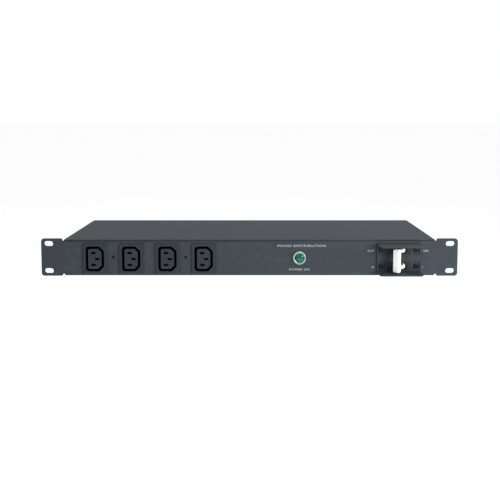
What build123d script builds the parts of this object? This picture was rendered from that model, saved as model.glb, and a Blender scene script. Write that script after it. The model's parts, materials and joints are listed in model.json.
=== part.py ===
"""Rack power strip: a 1U chassis with four mains outlets, a pilot lamp and a two-pole circuit breaker.

+X runs to the right of somebody facing the front, +Y into the rack, +Z up. The origin is the centre of
the four rack slots, on the back of the ears, where the unit seats against the rack's rails.
"""

from build123d import *
from math import cos, radians, sin
import os

os.makedirs("parts", exist_ok=True)

# ---------------------------------------------------------------- driving dimensions, millimetres
# Front panel and ears, to the 19 inch rack standard, one unit high
PANEL_WIDTH = 482.6
PANEL_HEIGHT = 43.6
SLOT_SPACING_X = 465.1
SLOT_SPACING_Z = 31.75
SLOT_LENGTH = 10.4
SLOT_WIDTH = 6.0
EAR_CORNER = 3.4
NOTCH_WIDTH = 3.6
TOP_NOTCH_DEPTH = 3.4
BOTTOM_NOTCH_DEPTH = 2.3

# Chassis sheet metal
BASE_SHEET = 2.0
COVER_SHEET = 1.2
BEND_INNER = 0.4
CHASSIS_DEPTH = 125.0
COVER_WIDTH = 431.2
COVER_STEP = 0.8            # the cover's top lies this far below the ears' top
COVER_PLAY = 0.2
COVER_LIP = 0.8             # the cover's top reaches this far in front of the panel
FRONT_FLANGE = 14.0
REAR_FLANGE = 12.0
SIDE_FLANGE = 14.0
SIDE_FLANGE_GAP = 6.0       # from each end wall to the side flanges
COVER_SCREW_SHARES = (0.18, 0.5, 0.82)

# Small screws, nuts and pins
M3 = 3.0
M3_CLEARANCE = 3.4
M3_HEAD = 5.6
M3_HEAD_HEIGHT = 2.0
M3_NUT = 5.5                # across flats
M3_NUT_HEIGHT = 2.4
M2 = 2.0
M2_CLEARANCE = 2.2
M2_HEAD = 3.8
M5 = 5.0
M5_NUT = 8.0
M5_NUT_HEIGHT = 4.0
RUN_GAP = 0.05              # radial gap of a pin in its bore

# Outlets
OUTLET_PITCH = 42.0
OUTLET_COUNT = 4
FIRST_OUTLET_X = -179.0
OUTLET_Z = -1.7
BEZEL = (28.6, 36.0)
BEZEL_THICKNESS = 1.5
BEZEL_CORNER = 1.6
OUTLET_BODY = (24.8, 32.2)
OUTLET_DEPTH = 28.0         # behind the panel's back face
CUTOUT_PLAY = 0.15
CATCH = (0.8, 4.0, 8.0)
CORE = (15.2, 23.2)
CORE_CHAMFER = 3.9
CORE_CORNER = 2.2
CHAMFER_CORNER = 0.8
GROOVE = 3.1
GROOVE_DEPTH = 18.0
POWER_PIN_OFFSET = (-1.6, 7.0)
EARTH_PIN_OFFSET_X = 2.8
PIN_SLOT = (5.4, 2.8)
PIN_SLOT_DEPTH = 7.0
CAVITY = (6.4, 3.6)
SLEEVE_PLAY = 0.2
SLEEVE_WALL = 0.6
SLEEVE_LENGTH = 19.0
CONTACT_ROOT = 3.0
CONTACT_TAB = (4.6, 0.8)
TAB_BEYOND_BAR = 1.8
CLAMP_SCREW_Z = 0.2
CLAMP_PLATE = (25.2, 20.0)
CLAMP_SHEET = 1.5

# Busbars behind the outlets
BAR_HEIGHT = 4.6
BAR_THICKNESS = 1.2
OUTLET_TO_POWER_BAR = 5.0   # behind the outlets' backs
OUTLET_TO_EARTH_BAR = 8.6
BAR_END_X = -34.0
BAR_START = 6.0             # beyond the first outlet's centre

# Pilot lamp
LAMP_X = 57.9
LAMP_Z = -0.6
LAMP_BARREL = 12.0
LAMP_WALL = 0.85
LAMP_BARREL_DEPTH = 26.0
LAMP_BEZEL = 15.6
LAMP_BEZEL_HEIGHT = 2.4
LAMP_LENS = 11.4
LENS_RISE = 1.4
LAMP_NUT = 16.0
LAMP_NUT_HEIGHT = 3.0
WASHER_SHEET = 0.6
BULB = 6.0
BULB_LENGTH = 13.0
LAMP_BASE_LENGTH = 8.0
LAMP_TAB = (4.8, 0.8)
LAMP_TAB_LENGTH = 7.0
LAMP_TAB_SPACING = 7.0

# Circuit breaker, two poles on their sides, one above the other
BREAKER_X = 173.1
BREAKER_Z = -0.8
POLE_PITCH = 19.05
POLE_THICKNESS = 16.2
CASE_LENGTH = 50.8
CASE_DEPTH = 56.0
CASE_WALL = 1.6
MOUNT_SPACING = 40.4
MOUNT_BOSS = 6.4
MOUNT_BOSS_DEPTH = 9.0
FACE = (26.4, 10.4)
FACE_RISE = 1.6             # in front of the panel
FACE_PLAY = 0.3
COLLAR_OUTER = 10.6
COLLAR_BORE = 8.2
COLLAR_RISE = 0.6
RIVET = 3.0
RIVET_HEAD = 4.6
RIVET_HEAD_HEIGHT = 0.4
RIVET_POST = 4.0
FRONT_RIVET_Y = 12.6

# Toggle
PIVOT_OFFSET_X = 5.1
PIVOT_BEHIND_FACE = 1.6
PIVOT_PIN = 1.8
HUB = 4.4
LEAN = 38.5                 # each way from straight out
LEVER_RADIUS = 16.4         # pivot to the middle of the tie bar
LEVER_DEPTH = 3.0
LEVER_THICKNESS = 3.8
CRANK_RADIUS = 8.0
CRANK_SHEET = 1.0
CRANK_WIDTH = 3.2
TIE_BAR = (7.6, 6.4, 27.6)
TIE_DROP = 0.4              # its middle below the breaker's
TIE_SOCKET = 3.0

# Contacts and trip magnet inside each pole
CARRIER_OFFSET_X = 2.0
CARRIER_Y = 26.0
CARRIER_HUB = 6.4
CONTACT_RADIUS = 15.0
CONTACT_SWING = 20.0
CONTACT_GAP = 0.3
ARM_THICKNESS = 2.4
ARM_WIDTH = 6.0
TERMINAL_OFFSET_X = 14.5
STUD_END_Y = 64.0
STRAP = 2.2
COIL = 11.2
CORE_ROD = 4.8
COIL_ENDS_Y = (25.0, 41.0)
YOKE_SHEET = 2.0
YOKE_ARM = 1.5
ARMATURE_Y = 21.4
ARMATURE_SHEET = 1.2
ARMATURE_PIN = 1.2
CHUTE_PLATES = 5
CHUTE_PITCH = 3.0
CHUTE_SHEET = 0.8

# Guard around the toggle
GUARD_X = 172.5
GUARD_Z = -0.45
GUARD_WIDTH = 49.8
GUARD_HEIGHT = 33.7
GUARD_PLATE = 1.5
GUARD_WALL = 1.5
GUARD_REACH = 20.0
GUARD_CORNER = 4.0
GUARD_WINDOW_PLAY = 0.15
POCKET = (7.6, 11.6)
POCKET_DEPTH = 0.8

# Mains inlet in the rear wall
INLET_X = 100.0
INLET_Z = -1.0
INLET_FLANGE = (50.0, 27.0)
INLET_FLANGE_THICKNESS = 3.0
INLET_BODY = (34.0, 24.0)
INLET_RECESS = (30.0, 20.0)
INLET_RECESS_DEPTH = 20.0
INLET_DEPTH = 24.0
INLET_SCREW_SPACING = 41.0
INLET_PIN = (8.0, 2.0)
INLET_PIN_SPACING = 13.0
POWER_PIN_DROP = 4.0
EARTH_PIN_RISE = 5.5
INLET_TAB = 8.0
INLET_PIN_SET_BACK = 8.0    # from the flange's face

# Earthing and wiring
EARTH_STUD_X = 66.0
INLET_TO_STUD = 3.0          # each of these four, forward of the inlet's inner end
EARTH_STUD_HEIGHT = 14.0
LUG_SHEET = 0.8
LUG_RING = 9.2
WIRE = 3.2
THIN_WIRE = 1.6
WIRE_BEND = 3.0
CRIMP_WALL = 1.4
CRIMP_LENGTH = 6.0
INLET_TO_LIVE_RUN = 11.0
INLET_TO_NEUTRAL_RUN = 15.0
INLET_TO_SUPPLY = 22.0
LIVE_RUN_Z = 11.5
NEUTRAL_RUN_Z = -12.0
CLIPS_X = (30.0, 140.0)
CLIP_WIDTH = 6.0

# ---------------------------------------------------------------- places that follow from them
FRONT = -BASE_SHEET
REAR = FRONT + CHASSIS_DEPTH
TOP = PANEL_HEIGHT / 2
BOTTOM = -TOP
COVER_TOP = TOP - COVER_STEP
BASE_TOP = COVER_TOP - COVER_SHEET
FLOOR = BOTTOM + BASE_SHEET
BEND_OUTER = BEND_INNER + BASE_SHEET
COVER_HALF = COVER_WIDTH / 2
BASE_HALF = COVER_HALF - COVER_SHEET - COVER_PLAY
COVER_BEND = COVER_SHEET + 1.0
FLAT_HALF = COVER_HALF - COVER_BEND - 0.4
NOTCH_X = COVER_HALF + 0.5
COVER_SCREWS_Y = [FRONT + CHASSIS_DEPTH * share for share in COVER_SCREW_SHARES]
COVER_SCREW_Z = FLOOR + SIDE_FLANGE / 2

OUTLETS_X = [FIRST_OUTLET_X + i * OUTLET_PITCH for i in range(OUTLET_COUNT)]
CLAMPS_X = [(OUTLETS_X[i] + OUTLETS_X[i + 1]) / 2 for i in range(0, OUTLET_COUNT - 1, 2)]
LIVE_Z = OUTLET_Z + POWER_PIN_OFFSET[1]
NEUTRAL_Z = OUTLET_Z - POWER_PIN_OFFSET[1]
POWER_BAR_Y = OUTLET_DEPTH + OUTLET_TO_POWER_BAR
EARTH_BAR_Y = OUTLET_DEPTH + OUTLET_TO_EARTH_BAR
POWER_BAR_MID = POWER_BAR_Y + BAR_THICKNESS / 2
EARTH_BAR_MID = EARTH_BAR_Y + BAR_THICKNESS / 2

POLES_Z = (BREAKER_Z + POLE_PITCH / 2, BREAKER_Z - POLE_PITCH / 2)
POLE_HALF = POLE_THICKNESS / 2
CAVITY_HALF = POLE_HALF - CASE_WALL
CASE_HALF = CASE_LENGTH / 2
FACE_FRONT = FRONT - FACE_RISE
PIVOT_X = BREAKER_X + PIVOT_OFFSET_X
PIVOT_Y = FACE_FRONT + PIVOT_BEHIND_FACE
CARRIER_X = BREAKER_X + CARRIER_OFFSET_X
LINE_X = BREAKER_X - TERMINAL_OFFSET_X
LOAD_X = BREAKER_X + TERMINAL_OFFSET_X
CASE_BACK = CASE_DEPTH - CASE_WALL
POST_X = CASE_HALF - CASE_WALL - RIVET_POST / 2
RIVETS = [
    (BREAKER_X + side * POST_X, y)
    for side in (-1, 1)
    for y in (FRONT_RIVET_Y, CASE_BACK - RIVET_POST / 2)
]

POWER_PIN_Z = INLET_Z - POWER_PIN_DROP
EARTH_PIN_Z = INLET_Z + EARTH_PIN_RISE
INLET_INNER = REAR - INLET_DEPTH
EARTH_STUD_Y = INLET_INNER - INLET_TO_STUD
RETURN_LIVE = (INLET_INNER - INLET_TO_LIVE_RUN, LIVE_RUN_Z)
RETURN_NEUTRAL = (INLET_INNER - INLET_TO_NEUTRAL_RUN, NEUTRAL_RUN_Z)
SUPPLY_Y = INLET_INNER - INLET_TO_SUPPLY
INLET_PINS = [
    (INLET_X - INLET_PIN_SPACING / 2, POWER_PIN_Z),
    (INLET_X + INLET_PIN_SPACING / 2, POWER_PIN_Z),
    (INLET_X, EARTH_PIN_Z),
]
LUG_Z = FLOOR + LUG_SHEET
LUG_BARREL = WIRE / 2 + 0.7


# ---------------------------------------------------------------- helpers
def at_depth(y):
    """A sketch plane facing the front at depth y. Positive extrusion comes towards the front."""
    return Plane.XZ.offset(-y)


def facing_front(x, y, z):
    return Plane(origin=(x, y, z), x_dir=(1, 0, 0), z_dir=(0, -1, 0))


def facing_rear(x, y, z):
    return Plane(origin=(x, y, z), x_dir=(-1, 0, 0), z_dir=(0, 1, 0))


def about(middle, size):
    """The two ends of a span of one size about its middle."""
    return (middle - size / 2, middle + size / 2)


def block(x, y, z, mode=Mode.ADD):
    """A box between the two ends given for each axis."""
    ends = [sorted(pair) for pair in (x, y, z)]
    with Locations([tuple((low + high) / 2 for low, high in ends)]):
        Box(*[high - low for low, high in ends], mode=mode)


def rod(place, diameter, length, mode=Mode.ADD):
    """A cylinder that starts at a place and runs along its axis."""
    with Locations(place):
        Cylinder(diameter / 2, length, align=(Align.CENTER, Align.CENTER, Align.MIN), mode=mode)


def cross_recess(head, depth):
    Box(0.55 * head, head / 7, 2 * depth, mode=Mode.SUBTRACT)
    Box(head / 7, 0.55 * head, 2 * depth, mode=Mode.SUBTRACT)


def pan_screw(place, length):
    """A cross-recessed M3 screw, its head standing on the place and its shank behind."""
    with Locations(place):
        Cylinder(M3_HEAD / 2, M3_HEAD_HEIGHT, align=(Align.CENTER, Align.CENTER, Align.MIN))
        Cylinder(M3 / 2, length, align=(Align.CENTER, Align.CENTER, Align.MAX))
        with Locations((0, 0, M3_HEAD_HEIGHT)):
            cross_recess(M3_HEAD, M3_HEAD_HEIGHT / 2)


def flat_screw(place, length, shank=M3, head=M3_HEAD):
    """A cross-recessed countersunk screw, its head flush with the place."""
    cone = (head - shank) / 2
    with Locations(place):
        Cylinder(shank / 2, length, align=(Align.CENTER, Align.CENTER, Align.MAX))
        with Locations((0, 0, -cone / 2)):
            Cone(shank / 2, head / 2, cone)
        cross_recess(head, cone * 0.8)


def sunk_hole(place, sheet, clearance=M3_CLEARANCE, head=M3_HEAD):
    """The hole for a countersunk screw."""
    with Locations(place):
        CounterSinkHole(clearance / 2, head / 2, depth=sheet, counter_sink_angle=90)


def hex_nut(place, flats, bore, height):
    with BuildSketch(place) as outline:
        RegularPolygon(flats / 2, 6, major_radius=False)
        Circle(bore / 2, mode=Mode.SUBTRACT)
    extrude(outline.sketch, amount=height)


def wire(points, diameter=WIRE, bend=WIRE_BEND):
    """A round wire along straight runs joined by tangent arcs."""
    with BuildLine() as route:
        FilletPolyline(*points, radius=bend)
    start = Plane(origin=route.line @ 0, z_dir=route.line % 0)
    with BuildSketch(start) as section_:
        Circle(diameter / 2)
    sweep(section_.sketch, path=route.line)


def save(builder, node):
    builder.part.label = node
    export_step(builder.part, f"parts/{node}.step")


# ---------------------------------------------------------------- chassis
with BuildPart() as chassis_base:
    with BuildSketch(Plane.YZ) as folded:
        with BuildLine():
            FilletPolyline(
                (FRONT + FRONT_FLANGE, BASE_TOP),
                (FRONT, BASE_TOP),
                (FRONT, BOTTOM),
                (REAR, BOTTOM),
                (REAR, BASE_TOP),
                (REAR - REAR_FLANGE, BASE_TOP),
                radius=BEND_OUTER,
            )
            offset(amount=BASE_SHEET, side=Side.LEFT)
        make_face()
    extrude(amount=BASE_HALF, both=True)
    for side in (1, -1):
        # the top flanges stop short of the cover's own bends
        block(
            (side * FLAT_HALF, side * (BASE_HALF + 1)),
            (FRONT - 1, REAR + 1),
            (BASE_TOP - BEND_OUTER, BASE_TOP + 1),
            Mode.SUBTRACT,
        )
    with BuildSketch(at_depth(0)) as ears:
        Polygon(
            (FLAT_HALF - 4, BOTTOM + BEND_OUTER),
            (BASE_HALF, BOTTOM + BEND_OUTER),
            (NOTCH_X, BOTTOM + BOTTOM_NOTCH_DEPTH),
            (NOTCH_X + NOTCH_WIDTH / 2, BOTTOM),
            (PANEL_WIDTH / 2, BOTTOM),
            (PANEL_WIDTH / 2, TOP),
            (NOTCH_X + NOTCH_WIDTH / 2, TOP),
            (NOTCH_X, TOP - TOP_NOTCH_DEPTH),
            (NOTCH_X - NOTCH_WIDTH / 2, COVER_TOP),
            (FLAT_HALF + 0.1, COVER_TOP),
            (FLAT_HALF + 0.1, BASE_TOP - BEND_OUTER),
            (FLAT_HALF - 4, BASE_TOP - BEND_OUTER),
            align=None,
        )
        fillet(ears.vertices().group_by(Axis.X)[-1], EAR_CORNER)
        mirror(about=Plane.YZ)
    extrude(amount=BASE_SHEET)
    # side flanges, folded up from the floor between the two end walls
    flange_y = (FRONT + BEND_OUTER + SIDE_FLANGE_GAP, REAR - BEND_OUTER - SIDE_FLANGE_GAP)
    for side in (1, -1):
        outer = side * BASE_HALF
        inner = side * (BASE_HALF - 2 * BEND_OUTER)
        block((inner, side * (BASE_HALF + 1)), flange_y, (BOTTOM - 1, FLOOR), Mode.SUBTRACT)
        with BuildSketch(at_depth(flange_y[1])) as flange:
            with BuildLine():
                FilletPolyline(
                    (inner, BOTTOM), (outer, BOTTOM), (outer, BOTTOM + SIDE_FLANGE), radius=BEND_OUTER
                )
                offset(amount=BASE_SHEET, side=Side.LEFT if side > 0 else Side.RIGHT)
            make_face()
        extrude(amount=flange_y[1] - flange_y[0])
    with BuildSketch(at_depth(0)) as front_cuts:
        with GridLocations(SLOT_SPACING_X, SLOT_SPACING_Z, 2, 2):
            SlotOverall(SLOT_LENGTH, SLOT_WIDTH)
        with Locations([(x, OUTLET_Z) for x in OUTLETS_X]):
            Rectangle(OUTLET_BODY[0] + 2 * CUTOUT_PLAY, OUTLET_BODY[1] + 2 * CUTOUT_PLAY)
        with Locations((LAMP_X, LAMP_Z)):
            Circle(LAMP_BARREL / 2)
        with Locations((BREAKER_X, BREAKER_Z)):
            Rectangle(FACE[0] + 2 * FACE_PLAY, POLE_PITCH + FACE[1] + 2 * FACE_PLAY)
            with GridLocations(MOUNT_SPACING, POLE_PITCH, 2, 2):
                Circle(M3_CLEARANCE / 2)
    extrude(amount=BASE_SHEET, mode=Mode.SUBTRACT)
    for x in CLAMPS_X:
        sunk_hole(facing_front(x, FRONT, CLAMP_SCREW_Z), BASE_SHEET, M2_CLEARANCE, M2_HEAD)
    with BuildSketch(at_depth(REAR)) as rear_cuts:
        with Locations((INLET_X, INLET_Z)):
            Rectangle(INLET_BODY[0] + 2 * CUTOUT_PLAY, INLET_BODY[1] + 2 * CUTOUT_PLAY)
            with GridLocations(INLET_SCREW_SPACING, 1, 2, 1):
                Circle(M3_CLEARANCE / 2)
    extrude(amount=BASE_SHEET, mode=Mode.SUBTRACT)
    for y in COVER_SCREWS_Y:
        for side in (1, -1):
            place = Plane(origin=(side * BASE_HALF, y, COVER_SCREW_Z), z_dir=(-side, 0, 0))
            rod(place, M3 + 2 * RUN_GAP, BASE_SHEET, Mode.SUBTRACT)
save(chassis_base, "chassis_base")

with BuildPart() as top_cover:
    with BuildSketch(at_depth(REAR)) as channel:
        with BuildLine():
            FilletPolyline(
                (-COVER_HALF, BOTTOM + BEND_OUTER / 2),
                (-COVER_HALF, COVER_TOP),
                (COVER_HALF, COVER_TOP),
                (COVER_HALF, BOTTOM + BEND_OUTER / 2),
                radius=COVER_BEND,
            )
            offset(amount=COVER_SHEET, side=Side.RIGHT)
        make_face()
    extrude(amount=CHASSIS_DEPTH + COVER_LIP)
    for side in (1, -1):
        # the sides stop behind the ears, so only the flat top reaches the front
        block(
            (side * FLAT_HALF, side * (COVER_HALF + 1)),
            (FRONT - 2 * COVER_LIP, COVER_PLAY),
            (BOTTOM, TOP),
            Mode.SUBTRACT,
        )
        for y in COVER_SCREWS_Y:
            sunk_hole(Plane(origin=(side * COVER_HALF, y, COVER_SCREW_Z), z_dir=(side, 0, 0)), COVER_SHEET)
save(top_cover, "top_cover")

with BuildPart() as cover_screws:
    for y in COVER_SCREWS_Y:
        for side in (1, -1):
            flat_screw(Plane(origin=(side * COVER_HALF, y, COVER_SCREW_Z), z_dir=(side, 0, 0)), 7.0)
save(cover_screws, "cover_screws")

with BuildPart() as cover_nuts:
    for y in COVER_SCREWS_Y:
        for side in (1, -1):
            inner = side * (BASE_HALF - BASE_SHEET)
            place = Plane(origin=(inner, y, COVER_SCREW_Z), x_dir=(0, 1, 0), z_dir=(-side, 0, 0))
            hex_nut(place, M3_NUT, M3 + 2 * RUN_GAP, M3_NUT_HEIGHT)
save(cover_nuts, "cover_nuts")


# ---------------------------------------------------------------- outlets
def keyed_outline(y, x, grow):
    """An outlet core's outline, its chamfered corners towards +X, grown all round."""
    half_w = CORE[0] / 2 + grow
    half_h = CORE[1] / 2 + grow
    cut = CORE_CHAMFER + grow * (2 - 2**0.5)
    with BuildSketch(at_depth(y)) as outline:
        Polygon(
            (x - half_w, OUTLET_Z - half_h),
            (x + half_w - cut, OUTLET_Z - half_h),
            (x + half_w, OUTLET_Z - half_h + cut),
            (x + half_w, OUTLET_Z + half_h - cut),
            (x + half_w - cut, OUTLET_Z + half_h),
            (x - half_w, OUTLET_Z + half_h),
            align=None,
        )
        keyed_corners = outline.vertices().filter_by(lambda vertex: vertex.X > x)
        fillet(keyed_corners, CHAMFER_CORNER + grow / 2)
        fillet(outline.vertices().group_by(Axis.X)[0], CORE_CORNER + grow / 2)
    return outline.sketch


def contact_places(x):
    """Where the live, neutral and earth contacts of the outlet at x sit, and how far back each reaches."""
    return [
        (x + POWER_PIN_OFFSET[0], LIVE_Z, POWER_BAR_Y),
        (x + POWER_PIN_OFFSET[0], NEUTRAL_Z, POWER_BAR_Y),
        (x + EARTH_PIN_OFFSET_X, OUTLET_Z, EARTH_BAR_Y),
    ]


for number, x in enumerate(OUTLETS_X, 1):
    bezel_front = FRONT - BEZEL_THICKNESS
    cavity_front = bezel_front + PIN_SLOT_DEPTH
    with BuildPart() as outlet_housing:
        with BuildSketch(at_depth(FRONT)) as bezel:
            with Locations((x, OUTLET_Z)):
                RectangleRounded(*BEZEL, BEZEL_CORNER)
        extrude(amount=BEZEL_THICKNESS)
        chamfer(outlet_housing.faces().sort_by(Axis.Y)[0].edges(), 0.5)
        block(
            about(x, OUTLET_BODY[0]),
            (FRONT, OUTLET_DEPTH),
            about(OUTLET_Z, OUTLET_BODY[1]),
        )
        for side in (1, -1):
            wall = x + side * OUTLET_BODY[0] / 2
            block((wall, wall + side * CATCH[0]), (0, CATCH[1]), about(OUTLET_Z, CATCH[2]))
        extrude(keyed_outline(bezel_front, x, GROOVE), amount=-GROOVE_DEPTH, mode=Mode.SUBTRACT)
        extrude(keyed_outline(bezel_front, x, 0), amount=-GROOVE_DEPTH)
        for place_x, place_z, _ in contact_places(x):
            block(
                about(place_x, PIN_SLOT[0]),
                (bezel_front, cavity_front),
                about(place_z, PIN_SLOT[1]),
                Mode.SUBTRACT,
            )
            block(
                about(place_x, CAVITY[0]),
                (cavity_front, OUTLET_DEPTH),
                about(place_z, CAVITY[1]),
                Mode.SUBTRACT,
            )
    save(outlet_housing, f"outlet_{number}_housing")

    with BuildPart() as outlet_contacts:
        for place_x, place_z, bar_y in contact_places(x):
            root_y = OUTLET_DEPTH - CONTACT_ROOT
            sleeve_y = root_y - SLEEVE_LENGTH
            sleeve = (CAVITY[0] - 2 * SLEEVE_PLAY, CAVITY[1] - 2 * SLEEVE_PLAY)
            block(about(place_x, sleeve[0]), (sleeve_y, root_y), about(place_z, sleeve[1]))
            block(
                about(place_x, sleeve[0] - 2 * SLEEVE_WALL),
                (sleeve_y, root_y - SLEEVE_WALL),
                about(place_z, sleeve[1] - 2 * SLEEVE_WALL),
                Mode.SUBTRACT,
            )
            block(about(place_x, CAVITY[0]), (root_y, OUTLET_DEPTH), about(place_z, CAVITY[1]))
            block(
                about(place_x, CONTACT_TAB[0]),
                (OUTLET_DEPTH, bar_y + BAR_THICKNESS + TAB_BEYOND_BAR),
                about(place_z, CONTACT_TAB[1]),
            )
    save(outlet_contacts, f"outlet_{number}_contacts")

for node, bar_y, bar_z, which in (
    ("live_busbar", POWER_BAR_Y, LIVE_Z, 0),
    ("neutral_busbar", POWER_BAR_Y, NEUTRAL_Z, 1),
    ("earth_busbar", EARTH_BAR_Y, OUTLET_Z, 2),
):
    with BuildPart() as busbar:
        bar_y_ends = (bar_y, bar_y + BAR_THICKNESS)
        block((FIRST_OUTLET_X - BAR_START, BAR_END_X), bar_y_ends, about(bar_z, BAR_HEIGHT))
        for x in OUTLETS_X:
            tab_x = contact_places(x)[which][0]
            block(about(tab_x, CONTACT_TAB[0]), bar_y_ends, about(bar_z, CONTACT_TAB[1]), Mode.SUBTRACT)
    save(busbar, node)

with BuildPart() as outlet_screws:
    for x in CLAMPS_X:
        flat_screw(facing_front(x, FRONT, CLAMP_SCREW_Z), 10.0, M2, M2_HEAD)
save(outlet_screws, "outlet_screws")

with BuildPart() as clamp_standoffs:
    for x in CLAMPS_X:
        hex_nut(facing_rear(x, 0, CLAMP_SCREW_Z), M3_NUT, M2, OUTLET_DEPTH / 2)
        hex_nut(facing_rear(x, OUTLET_DEPTH / 2, CLAMP_SCREW_Z), M3_NUT, M3, OUTLET_DEPTH / 2)
save(clamp_standoffs, "clamp_standoffs")

with BuildPart() as outlet_clamps:
    for x in CLAMPS_X:
        with BuildSketch(at_depth(OUTLET_DEPTH + CLAMP_SHEET)) as plate:
            with Locations((x, CLAMP_SCREW_Z)):
                RectangleRounded(*CLAMP_PLATE, 2)
                Circle(M3_CLEARANCE / 2, mode=Mode.SUBTRACT)
        extrude(amount=CLAMP_SHEET)
save(outlet_clamps, "outlet_clamps")

with BuildPart() as clamp_screws:
    for x in CLAMPS_X:
        pan_screw(facing_rear(x, OUTLET_DEPTH + CLAMP_SHEET, CLAMP_SCREW_Z), 9.0)
save(clamp_screws, "clamp_screws")

# ---------------------------------------------------------------- pilot lamp
lamp_front = FRONT - LAMP_BEZEL_HEIGHT
lens_back = FRONT + 1.0
lamp_bore = LAMP_BARREL - 2 * LAMP_WALL
base_front = LAMP_BARREL_DEPTH - LAMP_BASE_LENGTH

with BuildPart() as lamp_body:
    rod(facing_front(LAMP_X, FRONT, LAMP_Z), LAMP_BEZEL, LAMP_BEZEL_HEIGHT)
    chamfer(lamp_body.faces().sort_by(Axis.Y)[0].edges(), 0.7)
    rod(facing_rear(LAMP_X, FRONT, LAMP_Z), LAMP_BARREL, LAMP_BARREL_DEPTH - FRONT)
    rod(facing_rear(LAMP_X, lamp_front, LAMP_Z), lamp_bore, REAR, Mode.SUBTRACT)
    rod(facing_rear(LAMP_X, lamp_front, LAMP_Z), LAMP_LENS, LAMP_BEZEL_HEIGHT, Mode.SUBTRACT)
save(lamp_body, "lamp_body")

with BuildPart() as lamp_lens:
    rod(facing_front(LAMP_X, FRONT, LAMP_Z), LAMP_LENS, LAMP_BEZEL_HEIGHT - 0.4)
    with BuildSketch(Plane.XY.offset(LAMP_Z)) as dome:
        with BuildLine():
            Line((LAMP_X, lamp_front + 0.4), (LAMP_X + LAMP_LENS / 2, lamp_front + 0.4))
            ThreePointArc(
                (LAMP_X + LAMP_LENS / 2, lamp_front + 0.4),
                (LAMP_X + LAMP_LENS / 3.8, lamp_front + 0.4 - 0.72 * LENS_RISE),
                (LAMP_X, lamp_front + 0.4 - LENS_RISE),
            )
            Line((LAMP_X, lamp_front + 0.4 - LENS_RISE), (LAMP_X, lamp_front + 0.4))
        make_face()
    revolve(axis=Axis((LAMP_X, 0, LAMP_Z), (0, 1, 0)))
    rod(facing_rear(LAMP_X, FRONT, LAMP_Z), lamp_bore, lens_back - FRONT)
save(lamp_lens, "lamp_lens")

with BuildPart() as lamp_lock_washer:
    with BuildSketch(at_depth(WASHER_SHEET)) as ring:
        with Locations((LAMP_X, LAMP_Z)):
            Circle(LAMP_NUT / 2 + 1)
            Circle(LAMP_BARREL / 2, mode=Mode.SUBTRACT)
            with PolarLocations(LAMP_NUT / 2 + 1, 12):
                Rectangle(1.6, 1.2, mode=Mode.SUBTRACT)
    extrude(amount=WASHER_SHEET)
save(lamp_lock_washer, "lamp_lock_washer")

with BuildPart() as lamp_nut:
    hex_nut(facing_rear(LAMP_X, WASHER_SHEET, LAMP_Z), LAMP_NUT, LAMP_BARREL, LAMP_NUT_HEIGHT)
save(lamp_nut, "lamp_nut")

with BuildPart() as lamp_bulb:
    rod(facing_front(LAMP_X, base_front, LAMP_Z), BULB, BULB_LENGTH - BULB / 2)
    with Locations((LAMP_X, base_front - BULB_LENGTH + BULB / 2, LAMP_Z)):
        Sphere(BULB / 2)
save(lamp_bulb, "lamp_bulb")

with BuildPart() as lamp_base:
    rod(facing_rear(LAMP_X, base_front, LAMP_Z), lamp_bore, LAMP_BASE_LENGTH)
    for side in (1, -1):
        block(
            about(LAMP_X, LAMP_TAB[0]),
            (base_front + 3, LAMP_BARREL_DEPTH),
            about(LAMP_Z + side * LAMP_TAB_SPACING / 2, LAMP_TAB[1]),
            Mode.SUBTRACT,
        )
save(lamp_base, "lamp_base")

with BuildPart() as lamp_terminals:
    for side in (1, -1):
        block(
            about(LAMP_X, LAMP_TAB[0]),
            (base_front + 3, LAMP_BARREL_DEPTH + LAMP_TAB_LENGTH),
            about(LAMP_Z + side * LAMP_TAB_SPACING / 2, LAMP_TAB[1]),
        )
save(lamp_terminals, "lamp_terminals")


# ---------------------------------------------------------------- circuit breaker
def half_span(z, side, half):
    """The Z span of one half shell, from the pole's middle outwards."""
    return (z, z + side * half)


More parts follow.
